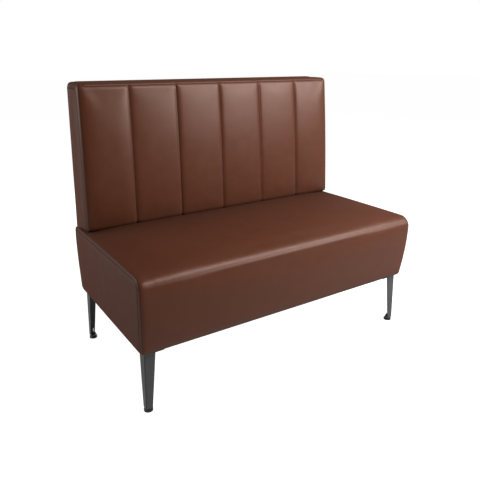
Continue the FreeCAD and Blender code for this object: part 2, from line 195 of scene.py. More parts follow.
print("seat", [round(v, 3) for v in seat_low], [round(v, 3) for v in seat_high])
print("back", [round(v, 3) for v in back_low], [round(v, 3) for v in back_high])
print("seams at x =", [round(float(x), 3) for x in seam_places])

# %% [markdown]
# ## How a cover is sewn
#
# A padded cover is a skin that its filling pushes out against its seams. That could be
# sculpted by hand, but a cloth simulation finds the shape by itself. The block of foam
# is turned into an even net of small faces and drawn in by a few millimetres. Then the
# places where the real cover is sewn or stapled are held, and air pressure swells the
# rest for twenty frames. A limit on how far a point may move keeps the cover firm,
# because booth seats are filled with dense foam.


# %% Draw a net in, and swell it like a stuffed cover
def draw_in(piece, amount, test):
    """Move the skin inwards where it passes a test, so that it has room to swell."""
    pick(piece, "VERT", test)
    bpy.ops.transform.shrink_fatten(value=-amount)
    done()


def spread(piece, amount, free, rounds):
    """Average each point's swelling with its neighbours', because firm foam has no creases."""
    ends = np.empty(len(piece.data.edges) * 2, dtype=np.int64)
    piece.data.edges.foreach_get("vertices", ends)
    a, b = ends.reshape(-1, 2).T
    count = len(amount)
    neighbours = np.bincount(a, minlength=count) + np.bincount(b, minlength=count)
    own_share = 0.4
    for _ in range(rounds):
        total = np.bincount(a, amount[b], count) + np.bincount(b, amount[a], count)
        amount = (own_share * amount + (1 - own_share) * total / neighbours) * free
    return amount


def swell(piece, held, pressure, limit, rounds, frames=20):
    """Blow the skin outwards except where it is held, and keep the result."""
    before, outward = points_of(piece), normals_of(piece)
    weights = held(*before.T)
    weigh(piece, "held", weights)
    only(piece)
    cloth = piece.modifiers.new("cloth", "CLOTH")
    leather_cloth = {"quality": 4, "mass": 0.4, "tension_stiffness": 60, "compression_stiffness": 60,
                     "shear_stiffness": 30, "bending_stiffness": 12, "vertex_group_mass": "held",
                     "use_pressure": True, "uniform_pressure_force": pressure}
    for name, value in leather_cloth.items():
        setattr(cloth.settings, name, value)
    cloth.settings.effector_weights.gravity = 0
    cloth.point_cache.frame_start = 1
    cloth.point_cache.frame_end = frames
    for frame_number in range(1, frames + 1):
        scene.frame_set(frame_number)
    bpy.ops.object.modifier_apply(modifier=cloth.name)
    scene.frame_set(1)
    amount = ((points_of(piece) - before) * outward).sum(axis=1)
    free = np.where(weights > 0.99, 0.1, 1.0)
    amount = spread(piece, amount, free, rounds)
    kept = limit * np.tanh(amount / limit)
    write_points(piece, before + outward * kept[:, None])
    piece.vertex_groups.clear()
    print(piece.name, "swelled by", round(float(kept.mean()) / MM, 1), "mm on average and",
          round(float(kept.max()) / MM, 1), "mm at most,", len(before), "points")


# %% [markdown]
# ## Seams as numbers
#
# A seam is a millimetre wide, far thinner than a face of the net. So each point stores
# how far it is from the nearest seam, with a minus sign inside a sewn-on panel and a
# plus sign outside. Between two points the number passes through zero exactly at the
# seam, and the material draws a sharp fold there. The upright rows of stitches need no
# sign, because points of the net are moved onto them. A second number counts the way
# along the seam, for the stitches.


# %% Helpers for seams
def rounded_corner(a, b, radius):
    """Distance inside a corner between two edges, with the corner rounded."""
    straight = np.minimum(a, b)
    rounded = radius - np.hypot(np.maximum(radius - a, 0), np.maximum(radius - b, 0))
    return np.where((a < radius) & (b < radius), rounded, straight)


def store(piece, name, values):
    """Keep one number for each point, which a material can read."""
    attribute = piece.data.attributes.new(name, "FLOAT", "POINT")
    attribute.data.foreach_set("value", np.asarray(values, dtype=np.float32))


def pull_in(piece, distance, depth, width):
    """Pull a cover in along a seam: deepest at the thread, fading out to both sides."""
    push = depth * np.exp(-np.abs(distance) / width)
    write_points(piece, points_of(piece) - normals_of(piece) * push[:, None])


def bevel_where(piece, test, width, segments=6):
    """Round off the edges that pass a test."""
    if pick(piece, "EDGE", test):
        bpy.ops.mesh.bevel(offset=width, segments=segments, profile=0.5, affect="EDGES")
    done()


# %% [markdown]
# ## The seat
#
# The seat is a deep block of foam. One long panel of leather cloth runs up the front,
# over a soft roll and back under the backrest. Two side panels are sewn to it, so the
# edges there are tighter than the front roll. A cube is the start, and each group of
# edges gets its own radius. It could be lofted from curves, but bevels say more plainly
# which edge is soft and which is tight.

# %% Block out the seat
seat_centre = (seat_low + seat_high) / 2
bpy.ops.object.select_all(action="DESELECT")
bpy.ops.mesh.primitive_cube_add(size=1, location=seat_centre, scale=seat_high - seat_low)
seat = named("seat_upholstery")
settle(seat)

front_roll = 46 * MM
side_roll = 16 * MM
rear_roll = 12 * MM
hem_roll = 7 * MM
near = 1 * MM


def on_front_top(a, b):
    return min(a.z, b.z) > seat_centre.z and max(a.y, b.y) < seat_centre.y


def on_flank(a, b):
    """The outline of a side, but not its hem."""
    one_side = min(abs(a.x), abs(b.x)) > seat_half - near and a.x * b.x > 0
    return one_side and max(a.z, b.z) > seat_low.z + near


def on_rear_top(a, b):
    return min(a.z, b.z) > seat_high.z - near and min(a.y, b.y) > seat_high.y - near


bevel_where(seat, on_front_top, front_roll, 16)
bevel_where(seat, on_flank, side_roll)
bevel_where(seat, on_rear_top, rear_roll)
bevel_where(seat, lambda a, b: max(a.z, b.z) < seat_low.z + near, hem_roll, 3)
print("seat block:", len(seat.data.polygons), "faces")

# %% [markdown]
# ## Tuck and crown
#
# The foam is fullest a little below the top edge, tucks in towards the hem, and is
# crowned by a centimetre in the middle of the seat. These are smooth moves of all the
# points of an even net, so the net comes first.

# %% Net, tuck and crown
seat_mesh_size = 9 * MM
tuck_power = 1.6
add_and_apply(seat, "REMESH", mode="VOXEL", voxel_size=seat_mesh_size, adaptivity=0.0)


def crown_share(distance):
    """0 at an edge of the seat, 1 where the crown is full."""
    return np.sin(np.clip(distance / crown_reach, 0, 1) * math.pi / 2)


co = points_of(seat)
x, y, z = co.T.copy()
rise = np.clip((z - seat_low.z) / (seat_full_height - seat_low.z), 0, 1)
tuck = (1 - rise) ** tuck_power
from_front = (seat_high.y - y) / (seat_high.y - seat_low.y)
y += tuck * (seat_front_tuck * from_front - seat_rear_tuck * (1 - from_front))
x *= 1 - tuck * seat_side_tuck / seat_half
crown = crown_share(seat_half - np.abs(x)) * crown_share(y - seat_low.y) * crown_share(seat_high.y - y)
z -= seat_edge_drop * (1 - crown) * ease(z, seat_high.z - 2 * front_roll, seat_high.z)
write_points(seat, np.stack([x, y, z], 1))
print("seat net:", len(x), "points, highest", round(float(z.max()) / MM, 1), "mm")


# %% Where the seat's side panels are sewn on
seat_panel_corner = 30 * MM
seat_side_zone = 60 * MM
sewn_width = 6 * MM
stapled_width = 9 * MM
pressed_firmness = 0.35


def side_panel_of_seat(x, y, z):
    """Distance to the side panel's outline, seen from the side, with a plus sign inside."""
    rise = np.clip((z - seat_low.z) / (seat_full_height - seat_low.z), 0, 1)
    front = y - (seat_low.y + seat_front_tuck * (1 - rise) ** tuck_power + side_roll)
    top = (seat_high.z - seat_edge_drop - side_roll + 3 * MM) - z
    rear = (seat_high.y - side_roll) - y
    inside = np.minimum(rounded_corner(front, top, seat_panel_corner), rear)
    return np.where(np.abs(x) > seat_half - seat_side_zone, inside, -nowhere)


def seat_held(x, y, z):
    """How firmly each point is held: 1 where it is sewn, stapled or pressed by the back."""
    seam = np.abs(side_panel_of_seat(x, y, z)) < sewn_width
    hem = z < seat_low.z + stapled_width
    under_back = (y > back_foot_front + 12 * MM) & (z > seat_high.z - 30 * MM)
    soft = np.where(y > back_foot_front, pressed_firmness, 0.0)
    return np.where(seam | hem | under_back, 1.0, soft)


# %% Swell the seat and pull in its seams
draw_in(seat, room_to_swell, lambda co: True)
swell(seat, seat_held, pressure=3.0, limit=3.5 * MM, rounds=140)
add_and_apply(seat, "SUBSURF", levels=1, render_levels=1)
x, y, z = points_of(seat).T
weigh(seat, "away_from_seams", ease(seat_half - np.abs(x), side_roll, seat_side_zone))
add_and_apply(seat, "SMOOTH", factor=0.5, iterations=45, vertex_group="away_from_seams")
print("seat swollen:", len(seat.data.polygons), "faces")

# %% [markdown]
# ## Fewer faces where nobody looks
#
# The net is as fine under the seat as on top, but the underside is flat and lies behind
# the dust cloth. Un-subdivide merges its small squares into larger ones there.

# %% Thin out the underside, then sew
thin_margin = 30 * MM


def behind_dust_cloth(centre, normal):
    in_x = abs(centre.x) < cloth_high.x - thin_margin
    in_y = cloth_low.y + thin_margin < centre.y < cloth_high.y - thin_margin
    return normal.z < -0.99 and in_x and in_y


pick(seat, "FACE", behind_dust_cloth)
bpy.ops.mesh.unsubdivide(iterations=4)
done()
only(seat)
bpy.ops.object.shade_smooth()

x, y, z = points_of(seat).T
seat_seam = -side_panel_of_seat(x, y, z)
pull_in(seat, seat_seam, depth=1.8 * MM, width=5 * MM)
store(seat, "seam_distance", seat_seam)
store(seat, "seam_run", z - y)
# Painted shade: a number that makes the seat's leather darker towards the line where the back stands
# on it.
seat_crease_shade_reach = 90 * MM
on_top = ease(z, seat_high.z - 80 * MM, seat_high.z - 30 * MM)
on_top = on_top * ease(seat_half - np.abs(x), 8 * MM, 30 * MM)
store(seat, "painted_crease_shade", on_top * np.exp(-np.abs(y - back_foot_front) / seat_crease_shade_reach))
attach(seat, "bench")
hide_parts("seat_cover", "seat_foam", "seat_front_padding")
print("seat sewn:", len(seat.data.polygons), "faces, size", [round(v, 3) for v in seat.dimensions])

# %% [markdown]
# ## The channelled back
#
# The back stands on the rear of the seat. Its front is one panel with five upright rows
# of stitches that make six channels, its sides are plain panels, and its top is a narrow
# roll. The channels could be six separate cushions, but on the real bench they are one
# sewn panel. So the block is one piece, and the rows are held while it swells.

# %% Block out the back
back_sink = 5 * MM
back_foot = back_low.z - back_sink
back_centre = Vector((0, (back_foot_front + back_foot_rear) / 2, (back_foot + back_high.z) / 2))
back_size = Vector((2 * back_half, back_foot_rear - back_foot_front, back_high.z - back_foot))
bpy.ops.object.select_all(action="DESELECT")
bpy.ops.mesh.primitive_cube_add(size=1, location=back_centre, scale=back_size)
back = named("back_upholstery")
settle(back)
back_roll = 22 * MM
back_rear_roll = 10 * MM
back_foot_roll = 11 * MM
above_foot = back_foot + near


def on_rear(a, b):
    return min(a.y, b.y) > back_foot_rear - near


def front_or_top(a, b):
    """Edges of the front and of the top, but not the foot's and not the rear's."""
    at_front = max(a.y, b.y) < back_foot_front + near
    at_top = min(a.z, b.z) > back_high.z - near
    return (at_front or at_top) and max(a.z, b.z) > above_foot and not on_rear(a, b)


bevel_where(back, front_or_top, back_roll, 7)
bevel_where(back, lambda a, b: on_rear(a, b) and max(a.z, b.z) > above_foot, back_rear_roll, 4)
bevel_where(back, lambda a, b: max(a.z, b.z) < above_foot, back_foot_roll, 4)
back_mesh_size = channel_pitch / 23
add_and_apply(back, "REMESH", mode="VOXEL", voxel_size=back_mesh_size, adaptivity=0.0)
print("back net:", len(back.data.vertices), "points")


# %% [markdown]
# ## Lean, and a column of points for each row of stitches
#
# The back leans and is a few millimetres fuller at mid height. Its front rolls under
# above the seat, and at the rear the cover is pulled down over the edge of the seat, so
# that no frame shows between the two. A crease can only be sharp where the net has
# points along it, so the nearest column of points is gathered onto each row of stitches.

# %% Lean the back and gather points onto the rows
def height_share(z):
    """0 at the foot of the back, 1 at its top."""
    return np.clip((z - back_low.z) / (back_high.z - back_low.z), 0, 1)


def back_front_at(z):
    share = height_share(z)
    straight = back_foot_front + (back_head_front - back_foot_front) * share
    return straight - back_bulge * np.sin(share * math.pi)


def back_rear_at(z):
    return back_foot_rear + (back_head_rear - back_foot_rear) * height_share(z)


def gather_rows(piece, reach):
    """Move points that are nearly on a row of stitches right onto it."""
    table = points_of(piece)
    gaps = seam_places[None, :] - table[:, :1]
    nearest = np.take_along_axis(gaps, np.abs(gaps).argmin(axis=1)[:, None], axis=1)[:, 0]
    gathered = np.abs(nearest) < reach
    table[gathered, 0] += nearest[gathered]
    write_points(piece, table)
    return int(gathered.sum())


front_foot_roll = 24 * MM
rear_drop = 17 * MM
co = points_of(back)
share = (co[:, 1] - back_foot_front) / (back_foot_rear - back_foot_front)
co[:, 1] = back_front_at(co[:, 2]) * (1 - share) + back_rear_at(co[:, 2]) * share
below = np.clip(back_foot + front_foot_roll - co[:, 2], 0, front_foot_roll)
tuck = front_foot_roll - np.sqrt(front_foot_roll ** 2 - below ** 2)
co[:, 1] += tuck * (1 - ease(share, 0.0, 0.6))
co[:, 2] -= rear_drop * ease(share, 0.4, 0.9) * (1 - ease(co[:, 2], back_foot, back_foot + 80 * MM))
write_points(back, co)
print("points gathered onto the rows:", gather_rows(back, back_mesh_size / 2))


# %% Where the back's panels are sewn together
top_panel_edge = 14 * MM
top_panel_corner = 6 * MM
back_panel_corner = 16 * MM
back_side_zone = 40 * MM
row_fade_depth = (26 * MM, 40 * MM)


def front_depth(y, z):
    """How far a point lies behind the front of the back."""
    return y - back_front_at(z)


def side_panel_of_back(x, y, z):
    """Distance to the side panel's outline, seen from the side, with a plus sign inside."""
    front = front_depth(y, z) - back_roll - near
    top = (back_high.z - back_roll - near) - z
    rear = (back_rear_at(z) - back_rear_roll - near) - y
    inside = np.minimum(rounded_corner(front, top, back_panel_corner), rear)
    return np.where(np.abs(x) > back_half - back_side_zone, inside, -nowhere)


def top_panel_of_back(x, y, z):
    """The same for the narrow top panel, which ends just short of the sides."""
    above = z - (back_high.z - top_panel_edge)
    from_end = (back_half - back_roll - 4 * MM) - np.abs(x)
    inside = rounded_corner(above, from_end, top_panel_corner)
    return np.where(z > back_high.z - 2 * top_panel_edge, inside, -nowhere)


def row_wave(x, y, z):
    """Distance to the rows of stitches, and how far they show: only on the front."""
    wave = np.abs(np.sin((x + back_half) / channel_pitch * math.pi)) * channel_pitch / math.pi
    shown = 1 - ease(front_depth(y, z), *row_fade_depth)
    return wave, shown * (np.abs(x) < back_half - channel_pitch / 2)


still_depth = 100 * MM
row_width = 5 * MM


def back_held(x, y, z):
    """1 where the cover is sewn, at its foot, and all over its flat rear."""
    wave, shown = row_wave(x, y, z)
    row = (wave < row_width) & (shown > 0.3)
    to_side, to_top = side_panel_of_back(x, y, z), top_panel_of_back(x, y, z)
    seam = np.minimum(np.abs(to_side), np.abs(to_top)) < row_width
    foot = z < back_foot + 8 * MM
    rear = front_depth(y, z) > still_depth
    return np.where(row | seam | foot | rear, 1.0, 0.0)


# %% Swell the back and pull in its rows
draw_in(back, room_to_swell, lambda co: front_depth(co.y, co.z) < still_depth)
gather_rows(back, 1.5 * MM)
swell(back, back_held, pressure=5.0, limit=6 * MM, rounds=6)
add_and_apply(back, "SUBSURF", levels=1, render_levels=1)
gather_rows(back, 1.6 * MM)
only(back)
bpy.ops.object.shade_smooth()

x, y, z = points_of(back).T
wave, shown = row_wave(x, y, z)
side_seam = -side_panel_of_back(x, y, z)
top_seam = -top_panel_of_back(x, y, z)
panel_seam = np.minimum(side_seam, top_seam)
row_seam = np.where(shown > 0.05, wave + (1 - shown) * 30 * MM, nowhere)
row_seam = np.where(top_seam < 0, nowhere, row_seam)
pull_in(back, row_seam, depth=5.0 * MM, width=6 * MM)
pull_in(back, panel_seam, depth=1.6 * MM, width=5 * MM)
along_side = np.abs(side_seam) < np.minimum(np.abs(top_seam), row_seam)
along_top = np.abs(top_seam) < np.minimum(np.abs(side_seam), row_seam)
store(back, "seam_distance", np.minimum(panel_seam, row_seam))
store(back, "seam_run", np.where(along_side, z - y, np.where(along_top, x, z)))
# Painted shade: a number that makes the front of the back darker towards its foot, above the seat.
back_crease_shade_reach = 50 * MM
in_front = 1 - ease(front_depth(y, z), 20 * MM, 60 * MM)
store(back, "painted_crease_shade", in_front * np.exp(-np.maximum(z - back_foot, 0) / back_crease_shade_reach))
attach(back, "bench")
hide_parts("back_cover", "back_foam")
print("back sewn:", len(back.data.polygons), "faces, size", [round(v, 3) for v in back.dimensions])

# %% [markdown]
# ## The outside back
#
# The rear is closed last, by a thin padded panel whose edges are folded under. It could
# be part of the back, but then its folded edge would be only painted. So it is a slab of
# its own that stands a few millimetres proud, with a soft border from an inset.

# %% Close the rear with its panel
panel_centre = (panel_low + panel_high) / 2
panel_thickness = 8 * MM
bpy.ops.object.select_all(action="DESELECT")
panel_size = (panel_high.x - panel_low.x, panel_thickness, panel_high.z - panel_low.z)
bpy.ops.mesh.primitive_cube_add(size=1, location=panel_centre, scale=panel_size)
outside = named("outside_back_panel")
settle(outside)
bevel_where(outside, lambda a, b: abs(a.y - b.y) > 5 * MM, 12 * MM, 5)
pick(outside, "FACE", lambda centre, normal: normal.y > 0.9)
for border, rise in ((5 * MM, 1.6 * MM), (30 * MM, 0.8 * MM)):
    bpy.ops.mesh.inset(thickness=border, depth=0.0)
    bpy.ops.transform.translate(value=(0, rise, 0))
done()
add_and_apply(outside, "BEVEL", width=1.5 * MM, segments=2, limit_method="ANGLE")
co = points_of(outside)
co[:, 1] += back_rear_at(co[:, 2]) - panel_centre.y - panel_thickness / 2 - 0.4 * MM
write_points(outside, co)
only(outside)
bpy.ops.object.shade_smooth_by_angle(angle=math.radians(60))
store(outside, "seam_distance", np.full(len(co), nowhere))
store(outside, "seam_run", co[:, 2])
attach(outside, "bench")
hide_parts("outside_back")
print("outside back from y", round(float(co[:, 1].min()), 4), "to", round(float(co[:, 1].max()), 4))

# %% [markdown]
# ## The dust cloth
#
# A thin black cloth is stapled under the seat. It hides the frame and keeps dust in.
# It hangs a little in the middle, and is pulled up at each staple. A plane with many
# faces can be lifted and lowered point by point, so that is the start.

# %% Stretch the dust cloth
cloth_centre = (cloth_low + cloth_high) / 2
cloth_size = cloth_high - cloth_low
cloth_thickness = 0.6 * MM
cloth_sag = 4.5 * MM
staple_gap = 52 * MM
bpy.ops.object.select_all(action="DESELECT")
bpy.ops.mesh.primitive_grid_add(x_subdivisions=110, y_subdivisions=56, size=1,
                                location=(cloth_centre.x, cloth_centre.y, cloth_low.z))
bpy.ops.transform.resize(value=(cloth_size.x, cloth_size.y, 1))
dust_cloth = named("dust_cloth")
settle(dust_cloth)
co = points_of(dust_cloth)
x, y, z = co.T.copy()
in_x = cloth_size.x / 2 - np.abs(x - cloth_centre.x)
in_y = cloth_size.y / 2 - np.abs(y - cloth_centre.y)
inward = np.minimum(in_x, in_y)
along = np.where(in_x < in_y, y, x)
sag = cloth_sag * (1 - np.exp(-inward / (90 * MM)))
scallop = 0.5 * MM * np.sin(along / staple_gap * 2 * math.pi) * np.exp(-inward / (25 * MM))
near_plate = np.exp(-np.hypot(in_x - 40 * MM, in_y - 40 * MM) / (60 * MM))
z -= sag * (1 - near_plate) + scallop * ease(inward, 2 * MM, 12 * MM)
write_points(dust_cloth, np.stack([x, y, z], 1))
add_and_apply(dust_cloth, "SOLIDIFY", thickness=cloth_thickness, offset=-1.0)
only(dust_cloth)
bpy.ops.object.shade_smooth()
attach(dust_cloth, "bench")
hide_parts("dust_cover")
print("dust cloth hangs to z", round(float(points_of(dust_cloth)[:, 2].min()), 4))

# %% [markdown]
# ## Staples
#
# The dust cloth is held by wire staples along its edge. One staple is shaped from a
# small cube: its ends are pulled up into legs. It is then copied around the edge.

# %% One staple, copied round the edge
staple_crown = 10 * MM
staple_wire = 1.1 * MM
edge_in = 6 * MM
corner_gap = 110 * MM
bpy.ops.object.select_all(action="DESELECT")
staple_size = (staple_crown, staple_wire, staple_wire * 0.6)
bpy.ops.mesh.primitive_cube_add(size=1, location=(0, 0, 0), scale=staple_size)
staple = named("staple_pattern")
settle(staple)
pick(staple, "EDGE", lambda a, b: abs(a.x - b.x) > staple_crown / 2)
bpy.ops.mesh.subdivide(number_cuts=6)
done()
co = points_of(staple)
co[:, 2] += 0.9 * MM * np.clip(np.abs(co[:, 0]) / (staple_crown / 2) - 0.6, 0, None)
write_points(staple, co)
add_and_apply(staple, "BEVEL", width=0.2 * MM, segments=1, limit_method="ANGLE")

places = []
for side in (-1, 1):
    for x in np.arange(cloth_low.x + corner_gap, cloth_high.x - 100 * MM, staple_gap):
        places.append((float(x), cloth_centre.y + side * (cloth_size.y / 2 - edge_in), 0.0))
    for y in np.arange(cloth_low.y + corner_gap, cloth_high.y - 100 * MM, staple_gap):
        places.append((cloth_centre.x + side * (cloth_size.x / 2 - edge_in), float(y), math.pi / 2))
staple_copies = []
for x, y, turn in places:
    copy = bpy.data.objects.new("staple", staple.data.copy())
    scene.collection.objects.link(copy)
    copy.location = (x, y, cloth_low.z - cloth_thickness)
    copy.rotation_euler = (0, 0, turn)
    staple_copies.append(copy)
bpy.data.objects.remove(staple)
bpy.ops.object.select_all(action="DESELECT")
for copy in staple_copies:
    copy.select_set(True)
bpy.context.view_layer.objects.active = staple_copies[0]
bpy.ops.object.join()
staples = named("dust_cloth_staples")
settle(staples)
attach(staples, "bench")
print("staples:", len(places))


# %% [markdown]
# ## Materials
#
# Each finish is made of nodes, so it stays sharp at any distance and needs no pictures.
# A pattern that several finishes share is a node group: it is built once and put into
# each material with its own values. Groups give out only patterns, and the shader stays
# in the material.


# %% Node helpers
def new_material(name):
    material = bpy.data.materials.new(name)
    material.use_nodes = True
    tree = material.node_tree
    return material, tree, tree.nodes["Principled BSDF"]


def feed(tree, value, socket):
    """Put a number, a colour or another node's output into a socket."""
    if isinstance(value, bpy.types.NodeSocket):
        tree.links.new(value, socket)
    elif isinstance(value, tuple) and len(value) == 3 and len(socket.default_value) == 4:
        socket.default_value = (*value, 1.0)
    else:
        socket.default_value = value


def node(tree, kind, settings=None, **values):
    """Add a node, set its options, and feed its named inputs."""
    made = tree.nodes.new("ShaderNode" + kind)
    for name, value in (settings or {}).items():
        setattr(made, name, value)
    for name, value in values.items():
        feed(tree, value, made.inputs[name.replace("_", " ")])
    return made


def sum_of(tree, operation, *values, clamp=False):
    """Add a Math node, feed it, and give its result."""
    made = tree.nodes.new("ShaderNodeMath")
    made.operation = operation
    made.use_clamp = clamp
    for socket, value in zip(made.inputs, values):
        feed(tree, value, socket)
    return made.outputs[0]


def blend_colour(tree, share, first, second):
    """Mix two colours: all of the first at share 0, all of the second at 1."""
    made = tree.nodes.new("ShaderNodeMix")
    made.data_type = "RGBA"
    feed(tree, share, made.inputs["Factor"])
    feed(tree, first, made.inputs[6])
    feed(tree, second, made.inputs[7])
    return made.outputs[2]


def noise(tree, scale, detail=2.0, where=None):
    made = node(tree, "TexNoise", Scale=scale, Detail=detail)
    feed(tree, where or node(tree, "TexCoord").outputs["Object"], made.inputs["Vector"])
    return made.outputs["Fac"]


def paint_with(tree, shader, share, first, second):
    """Blend two colours into the shader's base colour."""
    tree.links.new(blend_colour(tree, share, first, second), shader.inputs["Base Color"])


def darken(tree, share, amount, first, second):
    """Blend towards a second colour by a share of a mask."""
    return blend_colour(tree, sum_of(tree, "MULTIPLY", share, amount), first, second)


def bump_into(tree, shader, height, strength, distance):
    """Turn a height into the shader's normal."""
    bump = node(tree, "Bump", Height=height, Strength=strength, Distance=distance)
    tree.links.new(bump.outputs["Normal"], shader.inputs["Normal"])


def new_group(name, inputs, outputs):
    """An empty group: inputs are names with their usual values, outputs are names."""
    tree = bpy.data.node_groups.new(name, "ShaderNodeTree")
    for label, value in inputs.items():
        socket = tree.interface.new_socket(name=label, in_out="INPUT", socket_type="NodeSocketFloat")
        socket.default_value = value
    for label in outputs:
        tree.interface.new_socket(name=label, in_out="OUTPUT", socket_type="NodeSocketFloat")
    return tree, tree.nodes.new("NodeGroupInput").outputs, tree.nodes.new("NodeGroupOutput").inputs


def place_group(tree, group, **values):
    """Put a shared group into a material with its own values."""
    made = tree.nodes.new("ShaderNodeGroup")
    made.node_tree = group
    for name, value in values.items():
        feed(tree, value, made.inputs[name.replace("_", " ")])
    return made.outputs


print("node helpers ready")

# %% [markdown]
# ## Grain
#
# Leather cloth is embossed with small pebbles. A smooth Voronoi pattern gives rounded
# cells with soft creases between them, and fine noise breaks them up. The same group
# serves the fibres of the dust cloth and the peel of the powder coat, with other sizes.

# %% Grain group
grain_group, given, result = new_group(
    "embossed_grain",
    {"Cell Scale": 520.0, "Fine Scale": 900.0, "Cloud Scale": 26.0},
    ["Height", "Cells", "Cloud"],
)
tree = grain_group
where = node(tree, "TexCoord").outputs["Object"]
cells = node(tree, "TexVoronoi", {"feature": "SMOOTH_F1"},
             Vector=where, Scale=given["Cell Scale"], Smoothness=0.5)
cell_height = sum_of(tree, "SUBTRACT", 1.0, cells.outputs["Distance"])
fine = noise(tree, given["Fine Scale"], 3.0, where)
tree.links.new(sum_of(tree, "MULTIPLY_ADD", fine, 0.4, cell_height), result["Height"])
tree.links.new(cells.outputs["Distance"], result["Cells"])
tree.links.new(noise(tree, given["Cloud Scale"], 4.0, where), result["Cloud"])
print("grain group:", len(tree.nodes), "nodes")

# %% [markdown]
# ## A sewn seam
#
# This group turns the two stored numbers into a seam. Close to zero the cloth folds in
# sharply. Around it there is a soft dip with small puckers, because the thread pulls
# at every stitch, and the mask of this dip also serves to paint shade into it. In the
# fold itself the thread shows as a row of dashes.

# %% Seam group
seam_group, given, result = new_group(
    "sewn_seam",
    {"Distance": 0.05, "Run": 0.0, "Stitch Length": 0.007},
    ["Fold", "Valley And Shade", "Height", "Thread"],
)
tree = seam_group
millimetres = sum_of(tree, "MULTIPLY", sum_of(tree, "ABSOLUTE", given["Distance"]), 1000.0)


def closeness(reach):
    """1 at the seam, 0 from reach millimetres on."""
    return sum_of(tree, "SUBTRACT", 1.0, sum_of(tree, "DIVIDE", millimetres, reach), clamp=True)


fold = closeness(1.3)
valley_and_shade = sum_of(tree, "POWER", closeness(9.0), 2.0)
steps = sum_of(tree, "DIVIDE", given["Run"], given["Stitch Length"])
wave = sum_of(tree, "SINE", sum_of(tree, "MULTIPLY", steps, 2 * math.pi))
pucker = sum_of(tree, "MULTIPLY", sum_of(tree, "MULTIPLY", wave, 0.16), valley_and_shade)
fold_height = sum_of(tree, "MULTIPLY", sum_of(tree, "POWER", closeness(4.0), 2.0), -1.6)
in_stitch = sum_of(tree, "GREATER_THAN", wave, -0.55)
on_thread = sum_of(tree, "LESS_THAN", millimetres, 0.45)
tree.links.new(fold, result["Fold"])
tree.links.new(valley_and_shade, result["Valley And Shade"])
tree.links.new(sum_of(tree, "ADD", fold_height, pucker), result["Height"])
tree.links.new(sum_of(tree, "MULTIPLY", in_stitch, on_thread), result["Thread"])
print("seam group:", len(tree.nodes), "nodes")

# %% [markdown]
# ## Brown leather cloth
#
# The cloth is a warm red brown with a soft gloss. Its dye is a little uneven, the hollows
# between the pebbles are darker, and the folds of the seams are darkest. Shade is also
# painted into the colour: darker in the soft dip beside each seam, and darker where the
# seat meets the back, where the cloth is also duller. A stored number says how near each
# point is to that meeting line. At a flat glance the pebbles hide each other's shine, so
# the surface is rougher there. Layer Weight gives that angle, and it stays in the
# material, next to the shader.

# %% Brown leather cloth
leather, tree, shader = new_material("brown_leather_cloth")
grain = place_group(tree, grain_group, Cell_Scale=520.0, Fine_Scale=1100.0, Cloud_Scale=24.0)
distance = node(tree, "Attribute", {"attribute_name": "seam_distance"}).outputs["Fac"]
run = node(tree, "Attribute", {"attribute_name": "seam_run"}).outputs["Fac"]
seam = place_group(tree, seam_group, Distance=distance, Run=run, Stitch_Length=0.007)
dye = blend_colour(tree, grain["Cloud"], (0.073, 0.0184, 0.0060), (0.095, 0.0255, 0.0092))
skin = darken(tree, grain["Cells"], 0.30, dye, (0.042, 0.011, 0.006))
# Painted shade: the leather is painted darker in the soft dip beside each seam.
skin = darken(tree, seam["Valley And Shade"], 0.40, skin, (0.040, 0.010, 0.005))
skin = darken(tree, seam["Fold"], 0.80, skin, (0.010, 0.004, 0.003))
skin = darken(tree, seam["Thread"], 0.55, skin, (0.060, 0.024, 0.016))
# Painted shade: the leather is painted darker near where the seat meets the back.
crease_shade = node(tree, "Attribute", {"attribute_name": "painted_crease_shade"}).outputs["Fac"]
skin = darken(tree, crease_shade, 0.60, skin, (0.020, 0.006, 0.003))
tree.links.new(skin, shader.inputs["Base Color"])
worn = sum_of(tree, "MULTIPLY_ADD", grain["Cloud"], 0.12, 0.27)
worn = sum_of(tree, "MULTIPLY_ADD", seam["Valley And Shade"], 0.15, worn)
worn = sum_of(tree, "MULTIPLY_ADD", crease_shade, 0.15, worn)
glance = sum_of(tree, "POWER", node(tree, "LayerWeight", Blend=0.5).outputs["Facing"], 2.0)
tree.links.new(sum_of(tree, "MULTIPLY_ADD", glance, 0.75, worn), shader.inputs["Roughness"])
slack = sum_of(tree, "MULTIPLY", noise(tree, 7.0, 2.0), 1.6)
grain_height = sum_of(tree, "MULTIPLY", grain["Height"], 0.16)
height = sum_of(tree, "ADD", sum_of(tree, "ADD", grain_height, slack), seam["Height"])
bump_into(tree, shader, height, 0.6, 0.001)
shader.inputs["Specular IOR Level"].default_value = 0.31
shader.inputs["Specular Tint"].default_value = (1.0, 0.78, 0.70, 1.0)
for cover in (seat, back, outside):
    cover.data.materials.clear()
    cover.data.materials.append(leather)
print("leather:", len(tree.nodes), "nodes")

# %% [markdown]
# ## Worn edges
#
# Coated and plated steel shows brighter metal where hands and shoes rub its edges. The
# Bevel node rounds the shading of an edge, and the difference to the true normal marks
# the edge itself. The group is used by the leg steel and by the zinc.

